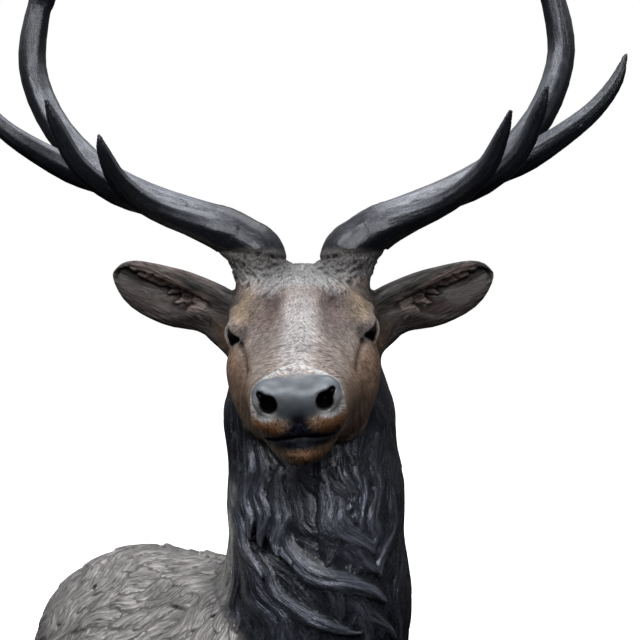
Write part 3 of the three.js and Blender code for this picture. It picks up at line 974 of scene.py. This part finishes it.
def ear_tints(at, p, normal, look, hair):
    """Brown grey outside, with painted light on one ear's top, plum in the hollow and paler on its tufts.
    """
    along, across, out = at.pinna.T
    yield look.ear, at.ear
    # Painted light: the upward faces of the ear on the -x side are paler, as if lit from that side.
    yield look.tuft, at.ear * smooth_step(normal[:, 2], 0.1, 0.8) * (p[:, 0] < 0)
    yield look.plum_and_brow_shade, at.inner
    tuft = smooth_step(hair.at("height", along, across), 1, 5)
    yield look.tuft, at.ear * (out > -6) * tuft * 0.9
    sill = list(ear_edges(along))[3]
    yield look.silver, at.ear * bump(across - sill, -1, 1.8) * (out > -8) * 0.35


def lower_tints(at, p, normal, look, mane):
    """The mane with painted highlights on its ridges, the long hair at one side, the withers, antlers
    with painted light on their tops, and eyes.
    """
    proud = np.clip(mane.at("height", *at.mane) / MANE_DEPTH, 0, 1.3)
    yield look.neck, at.neck
    # Painted highlight: the proudest locks turn blue silver.
    yield look.mane_highlight, at.neck * (0.04 + 0.7 * smooth_step(proud, 0.4, 1.2))
    side = smooth_step(-at.round_neck, 100, 125) * smooth_step(at.down_neck, 170, 240)
    yield look.strip, side * at.neck
    yield look.body, at.body
    yield look.antler, at.antler
    # Painted light: the upward faces of the antlers are silver, more so towards their outer ends.
    outward = 0.25 + 0.75 * smooth_step(np.abs(p[:, 0]), 70, 140)
    yield look.antler_lit_top, at.antler * smooth_step(normal[:, 2], -0.1, 1.0) * outward
    yield look.shade_and_eye_black, at.eye


def hair_run(stag, at, p):
    """Where each point lies across and along the hair that grows there, in millimetres."""
    lean = 0.35 + 0.45 * smooth_step(np.abs(p[:, 0]), 0, 60)
    beside, fall = np.abs(p[:, 0]), p[:, 2] - 0.5 * at.q[:, 1]
    fan = (
        1.7 * (beside * np.cos(lean) + fall * np.sin(lean)),
        3.6 * (beside * np.sin(lean) - fall * np.cos(lean)),
        0.3 * p[:, 0],
    )
    nothing = np.zeros(len(p))
    hair = np.column_stack(fan)
    for share, run in (
        (at.neck, [stag.mane.at(n, *at.mane) for n in ("across", "along", "side")]),
        (at.body, [stag.tufts.at(n, *at.back) for n in ("across", "along", "side")]),
        (at.ear, (at.pinna[:, 1], at.pinna[:, 0], nothing)),
        (at.antler, (at.around_antler * 16, at.along_antler, nothing)),
    ):
        hair = np.where(share[:, None] > 0.5, np.column_stack(run), hair)
    return hair


PAINTED_SHADE_REACHES = (4.0, 9.0, 18.0)
WEAR_DEPTH = 4.0


def paint(stag, p, normal, look):
    """What the patina reads at each point: its tint, the painted shade in its hollows and how the hair
    runs.
    """
    # Painted shade: points with the bust close in front of them along the normal get darker, as ambient
    # occlusion would make them.
    painted_shade = np.zeros(len(p), np.float32)
    for r in PAINTED_SHADE_REACHES:
        painted_shade += np.clip((r - stag.distance(p + normal * r)) / r, 0, 1.5) / len(PAINTED_SHADE_REACHES)
    worn = np.clip((stag.distance(p - normal * WEAR_DEPTH) + WEAR_DEPTH) / WEAR_DEPTH, 0, 1)
    at = Places(stag, p)
    tint = np.zeros((len(p), 3), np.float32) + np.array(look.ground, np.float32)
    for tints in (
        face_tints(at, p, look),
        ear_tints(at, p, normal, look, stag.ear_hair),
        lower_tints(at, p, normal, look, stag.mane),
    ):
        for colour, share in tints:
            tint = blend(tint, colour, share)
    silver = 0.75 * at.neck + 0.45 * at.face + 0.5 * at.body + 0.3 * at.ear * (1 - at.inner)
    # Painted highlight: the pale edge colour shows more on the antlers' upward faces.
    silver = silver + 0.35 * at.antler * smooth_step(normal[:, 2], 0.2, 0.9)
    metal = 0.2 * at.face + 1.0 * at.neck + 0.5 * at.body + 0.4 * at.ear + 0.7 * at.antler
    metal = metal + (0.6 - metal) * at.nose
    return {
        # 1 where no painted shade falls, lower where the painted shade darkens a hollow
        "unshaded": 1 - np.clip(painted_shade, 0, 1),
        "worn": worn,
        "tint": tint,
        "hair": hair_run(stag, at, p),
        "gloss": 0.35 * at.neck + 0.35 * at.antler + 1.4 * at.eye - 0.5 * at.face,
        "silver": silver * (1 - at.eye) * (1 - at.nostril),
        "metal": metal + (1.0 - metal) * at.eye,
        "furry": np.clip(1 - at.nose - at.eye - at.nostril, 0, 1) * (1 - 0.5 * at.antler),
    }


class Nodes:
    """A few words for building a shader in the node tree of a material or a world."""

    def __init__(self, owner, output):
        owner.use_nodes = True
        self.tree = owner.node_tree
        self.tree.nodes.clear()
        self.output = self.add(output)

    def put(self, socket, value):
        """Links the socket to another one, or sets its own value."""
        if isinstance(value, bpy.types.NodeSocket):
            self.tree.links.new(value, socket)
        else:
            socket.default_value = value

    def add(self, kind, **inputs):
        """A node with its inputs filled in. An underscore stands for a space in an input's name."""
        node = self.tree.nodes.new("ShaderNode" + kind)
        for name, value in inputs.items():
            self.put(node.inputs[name.replace("_", " ")], value)
        return node

    def attribute(self, name, output="Fac"):
        node = self.add("Attribute")
        node.attribute_name = name
        return node.outputs[output]

    def math(self, operation, *values, clamp=False):
        node = self.add("Math")
        node.operation = operation
        node.use_clamp = clamp
        for socket, value in zip(node.inputs, values):
            self.put(socket, value)
        return node.outputs[0]

    def mix(self, factor, socket, colour):
        """From the socket's colour to the given one."""
        node = self.add("Mix")
        node.data_type = "RGBA"
        node.clamp_factor = True
        for place, value in zip((0, 6, 7), (factor, socket, (*colour, 1.0))):
            self.put(node.inputs[place], value)
        return node.outputs[2]

    def noise(self, vector, scale, detail, roughness):
        node = self.add("TexNoise", Vector=vector, Scale=scale, Detail=detail, Roughness=roughness)
        return node.outputs["Fac"]

    def span(self, value, low, high, to_low=0.0, to_high=1.0):
        node = self.add(
            "MapRange", Value=value, From_Min=low, From_Max=high, To_Min=to_low, To_Max=to_high
        )
        return node.outputs[0]


HAIR_STRETCH = (0.42, 0.05, 0.37)  # strokes are fine across the hair and long along it
LEAST_LIGHT = 0.02


def bronze(look):
    """Waxed bronze in its painted tints: painted shade that turns the hollows black, bare and pale on
    proud edges.
    """
    material = bpy.data.materials.new("patinated_bronze")
    n = Nodes(material, "OutputMaterial")
    place = n.add("TexCoord").outputs["Object"]
    along_hair = n.add("Mapping", Vector=n.attribute("hair", "Vector"), Scale=HAIR_STRETCH)
    strand = n.noise(along_hair.outputs[0], 1.0, 3.0, 0.65)
    stroke = n.math("MULTIPLY", n.span(strand, 0.33, 0.67, -0.5, 0.5), n.attribute("furry"))
    cloud = n.noise(place, 16.0, 5.0, 0.62)
    fine = n.noise(place, 220.0, 4.0, 0.6)
    # Painted shade: the tint and the pale edges are darkened towards black in the hollows.
    depth = n.span(n.attribute("unshaded"), 0.35, 0.9, 0.06, 1.0)
    level = n.math("MULTIPLY_ADD", stroke, 1.3, 1.0)
    level = n.math("MULTIPLY", level, n.span(cloud, 0.3, 0.7, 0.6, 1.4))
    level = n.math("MAXIMUM", n.math("MULTIPLY", level, depth), LEAST_LIGHT)
    patina = n.add("VectorMath")
    patina.operation = "SCALE"
    n.put(patina.inputs[0], n.attribute("tint", "Vector"))
    n.put(patina.inputs["Scale"], level)
    edge = n.span(n.attribute("worn"), 0.12, 0.6, 0.0, 0.55)
    edge = n.math("ADD", edge, n.math("MULTIPLY", stroke, 0.4), clamp=True)
    edge = n.math("MULTIPLY", n.math("MULTIPLY", edge, depth), n.attribute("silver"))
    metal = n.attribute("metal")
    rough = n.math("MULTIPLY_ADD", fine, 0.2, look.roughness - 0.1)
    rough = n.math("MULTIPLY_ADD", n.attribute("gloss"), -0.2, rough)
    height = n.math("MULTIPLY_ADD", stroke, 0.5, n.math("MULTIPLY", fine, 0.12))
    shader = n.add(
        "BsdfPrincipled",
        Base_Color=n.mix(n.math("MULTIPLY", edge, 0.55), patina.outputs[0], look.worn),
        Metallic=n.math("MULTIPLY", metal, 0.55),
        Specular_IOR_Level=n.math("MULTIPLY_ADD", metal, 0.4, 0.1),
        Roughness=n.math("MAXIMUM", rough, 0.08),
        Coat_Weight=n.math("MULTIPLY", metal, 0.3),
        Coat_Roughness=0.2,
        Normal=n.add("Bump", Strength=0.8, Distance=0.0016, Height=height).outputs[0],
    )
    n.put(n.output.inputs["Surface"], shader.outputs[0])
    return material


# ---- add-on


class BustSizes(bpy.types.PropertyGroup):
    voxel: FloatProperty(
        name="Grain", description="Size of the meshing grid", default=0.002, unit="LENGTH",
    )
    triangles: IntProperty(name="Triangles", description="Most triangles in the bust", default=190000)


def colour(name, description, default):
    return FloatVectorProperty(name=name, description=description, subtype="COLOR", default=default)


class BustLook(bpy.types.PropertyGroup):
    # Near black: painted shade in the nostrils and tear creases, and the eyes' own black.
    shade_and_eye_black: colour("Hollows", "Black of the cut lines", (0.004, 0.004, 0.006))
    ground: colour("Ground", "Grey of the patina", (0.03, 0.032, 0.038))
    worn: colour("Worn", "Silver of the proud edges", (0.42, 0.44, 0.47))
    brown: colour("Brown", "Brown of the cheeks", (0.31, 0.205, 0.14))
    side: colour("Face", "Warm grey beside the bridge", (0.4, 0.335, 0.3))
    mauve: colour("Forehead", "Mauve of the hollows on the forehead", (0.21, 0.155, 0.145))
    gold: colour("Brow", "Golden brown at the brows", (0.28, 0.205, 0.13))
    silver: colour("Bridge", "Pale grey of the nose bridge", (0.45, 0.425, 0.42))
    poll: colour("Poll", "Grey of the curls between the antlers", (0.42, 0.42, 0.42))
    nose: colour("Nose pad", "Cool grey of the nose", (0.18, 0.2, 0.225))
    rim: colour("Nose rim", "Worn rim round the nose", (0.55, 0.545, 0.54))
    navy: colour("Lips", "Blue black of the lips", (0.01, 0.012, 0.022))
    orange: colour("Lip patches", "Bare orange brown on the lips and chin", (0.17, 0.08, 0.035))
    ear: colour("Ears", "Brown grey outside the ears", (0.09, 0.08, 0.075))
    # Plum inside the ears, and also the painted brow shadow round the eyes.
    plum_and_brow_shade: colour("Ear hollow", "Plum brown inside the ears", (0.05, 0.035, 0.034))
    tuft: colour("Ear tufts", "Brown grey of the hair in the ears", (0.27, 0.215, 0.195))
    neck: colour("Mane", "Charcoal of the mane", (0.02, 0.022, 0.032))
    # Painted highlight on the proud locks of the mane.
    mane_highlight: colour("Mane ridges", "Blue silver of the proud locks", (0.19, 0.205, 0.26))
    strip: colour("Side hair", "Grey green of the long side hair", (0.45, 0.46, 0.44))
    body: colour("Withers", "Silver grey of the withers", (0.31, 0.295, 0.29))
    antler: colour("Antlers", "Blue black of the antlers", (0.018, 0.02, 0.027))
    # Painted light on the upward faces of the antlers.
    antler_lit_top: colour("Antler tops", "Silver on top of the antlers", (0.24, 0.25, 0.285))
    roughness: FloatProperty(
        name="Roughness", description="How dull the wax is", default=0.36, min=0.0, max=1.0,
    )


class StageLook(bpy.types.PropertyGroup):
    floor: colour("Floor", "Colour of the floor", (0.9, 0.9, 0.9))
    eye_distance: FloatProperty(
        name="Camera distance", description="From the camera to the eyes", default=1.7, unit="LENGTH",
    )
    lens: FloatProperty(name="Lens", description="Focal length in millimetres", default=80.36)


class CastBust(bpy.types.Operator):
    """Sculpts the stag's bust as one casting and gives it its patina"""

    bl_idname = "stag.cast_bust"
    bl_label = "Cast the bust"

    def execute(self, context):
        sizes = context.scene.stag_sizes
        stag = Stag()
        voxel = sizes.voxel * 1000
        low = np.array([-440.0, -330.0, BASE_Z - 3 * voxel])
        points, faces = mesh_form(stag.distance, low, (440.0, 380.0, 610.0), voxel)
        if len(points) < 1000:
            raise RuntimeError("the bust came out empty")
        points, normal = settle(stag.distance, points.astype(np.float32))
        points = points + normal * fine_relief(stag, points, normal)[:, None]
        flat = points[:, 2] < BASE_Z + 0.5 * voxel
        points[flat, 2] = BASE_Z
        obj = bpy.data.objects.new("stag_bust_cast", new_mesh("stag_bust_cast", points, faces))
        context.scene.collection.objects.link(obj)
        thin(obj, sizes.triangles)
        mesh = obj.data
        p = points_of(mesh)
        normal = np.zeros(len(p) * 3, np.float32)
        mesh.vertex_normals.foreach_get("vector", normal)
        for name, values in paint(stag, p, normal.reshape(-1, 3), context.scene.stag_look).items():
            store(mesh, name, values)
        placed = (p + BETWEEN_EYES.astype(np.float32)) * 0.001
        mesh.vertices.foreach_set("co", placed.astype(np.float32).ravel())
        mesh.shade_smooth()
        mesh.update()
        mesh.materials.append(bronze(context.scene.stag_look))
        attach(obj, "root")
        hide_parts("stag_bust")
        return {"FINISHED"}


SKY = ((0.05, 0.01), (0.35, 0.08), (0.9, 0.42))  # height, grey
LAMPS = (
    # name, place, width, watts
    ("key", (-1.2, -1.6, 2.5), 1.6, 38.0),
    ("top", (0.4, 0.4, 2.7), 1.8, 16.0),
    ("front", (0.2, -2.6, 1.8), 1.6, 38.0),
)
LAMPS_AIM = Vector((0.0, 0.0, 0.5))
CAMERA_OFFSET = (0.021, 0.012)  # to the side and above the point between the eyes
FLOOR_REACH = 30


def overcast():
    """White behind the bust, and for its light a sky that is bright above and dark at the sides."""
    world = bpy.data.worlds.new("studio")
    n = Nodes(world, "OutputWorld")
    way = n.add("SeparateXYZ", Vector=n.add("TexCoord").outputs["Generated"])
    ramp = n.add("ValToRGB", Fac=n.span(way.outputs[2], -0.35, 1.0))
    ramp.color_ramp.elements.new(0.5)
    for element, (height, grey) in zip(ramp.color_ramp.elements, SKY):
        element.position = height
        element.color = (grey, grey, grey * 1.05, 1.0)
    sky = n.add("Background", Color=ramp.outputs[0])
    white = n.add("Background", Color=(1, 1, 1, 1))
    mix = n.add("MixShader", Fac=n.add("LightPath").outputs["Is Camera Ray"])
    n.put(mix.inputs[1], sky.outputs[0])
    n.put(mix.inputs[2], white.outputs[0])
    n.put(n.output.inputs["Surface"], mix.outputs[0])
    return world


def pale_floor(tint):
    material = bpy.data.materials.new("pale_floor")
    n = Nodes(material, "OutputMaterial")
    paper = n.add("BsdfPrincipled", Base_Color=(*tint, 1.0), Roughness=0.9)
    n.put(paper.inputs["Emission Color"], (1, 1, 1, 1))
    n.put(paper.inputs["Emission Strength"], 1.0)
    n.put(n.output.inputs["Surface"], paper.outputs[0])
    return material


class SetStage(bpy.types.Operator):
    """Lays a pale floor, hangs soft lights and sets the camera"""

    bl_idname = "stag.set_stage"
    bl_label = "Set the stage"

    def execute(self, context):
        look = context.scene.stag_stage
        floor = bpy.data.objects.new("floor", bpy.data.meshes.new("floor"))
        corners = [(x * FLOOR_REACH, y * FLOOR_REACH, 0) for x, y in ((-1, -1), (1, -1), (1, 1), (-1, 1))]
        floor.data.from_pydata(corners, [], [(0, 1, 2, 3)])
        floor.data.materials.append(pale_floor(look.floor))
        context.scene.collection.objects.link(floor)
        floor.visible_diffuse = False
        floor.visible_glossy = False
        for name, place, width, watts in LAMPS:
            lamp = bpy.data.lights.new(name, "AREA")
            lamp.shape = "DISK"
            lamp.size = width
            lamp.energy = watts
            holder = bpy.data.objects.new(name, lamp)
            holder.location = place
            holder.rotation_euler = (LAMPS_AIM - Vector(place)).to_track_quat("-Z", "Y").to_euler()
            context.scene.collection.objects.link(holder)
        context.scene.world = overcast()
        camera = bpy.data.objects.new("camera", bpy.data.cameras.new("camera"))
        camera.data.lens = look.lens
        eyes = BETWEEN_EYES * 0.001
        side, up = CAMERA_OFFSET
        camera.location = (eyes[0] + side, eyes[1] - look.eye_distance, eyes[2] + up)
        camera.rotation_euler = (math.radians(90), 0, 0)
        camera.data.clip_start, camera.data.clip_end = 0.05, 100
        context.scene.collection.objects.link(camera)
        context.scene.camera = camera
        context.scene.view_settings.view_transform = "Standard"
        return {"FINISHED"}


class BustPanel(bpy.types.Panel):
    bl_idname = "VIEW3D_PT_stag_bust"
    bl_label = "Stag bust"
    bl_space_type = "VIEW_3D"
    bl_region_type = "UI"
    bl_category = "Stag bust"

    def draw(self, context):
        scene = context.scene
        for group in (scene.stag_sizes, scene.stag_look, scene.stag_stage):
            for name in group.bl_rna.properties.keys():
                if name not in ("rna_type", "name"):
                    self.layout.prop(group, name)
        self.layout.operator(CastBust.bl_idname)
        self.layout.operator(SetStage.bl_idname)


CLASSES = (BustSizes, BustLook, StageLook, CastBust, SetStage, BustPanel)


def register():
    for cls in CLASSES:
        bpy.utils.register_class(cls)
    bpy.types.Scene.stag_sizes = PointerProperty(type=BustSizes)
    bpy.types.Scene.stag_look = PointerProperty(type=BustLook)
    bpy.types.Scene.stag_stage = PointerProperty(type=StageLook)


def unregister():
    del bpy.types.Scene.stag_stage, bpy.types.Scene.stag_look, bpy.types.Scene.stag_sizes
    for cls in reversed(CLASSES):
        bpy.utils.unregister_class(cls)


def main():
    register()
    bpy.ops.stag.cast_bust()
    bpy.ops.stag.set_stage()


if __name__ == "__main__":
    main()
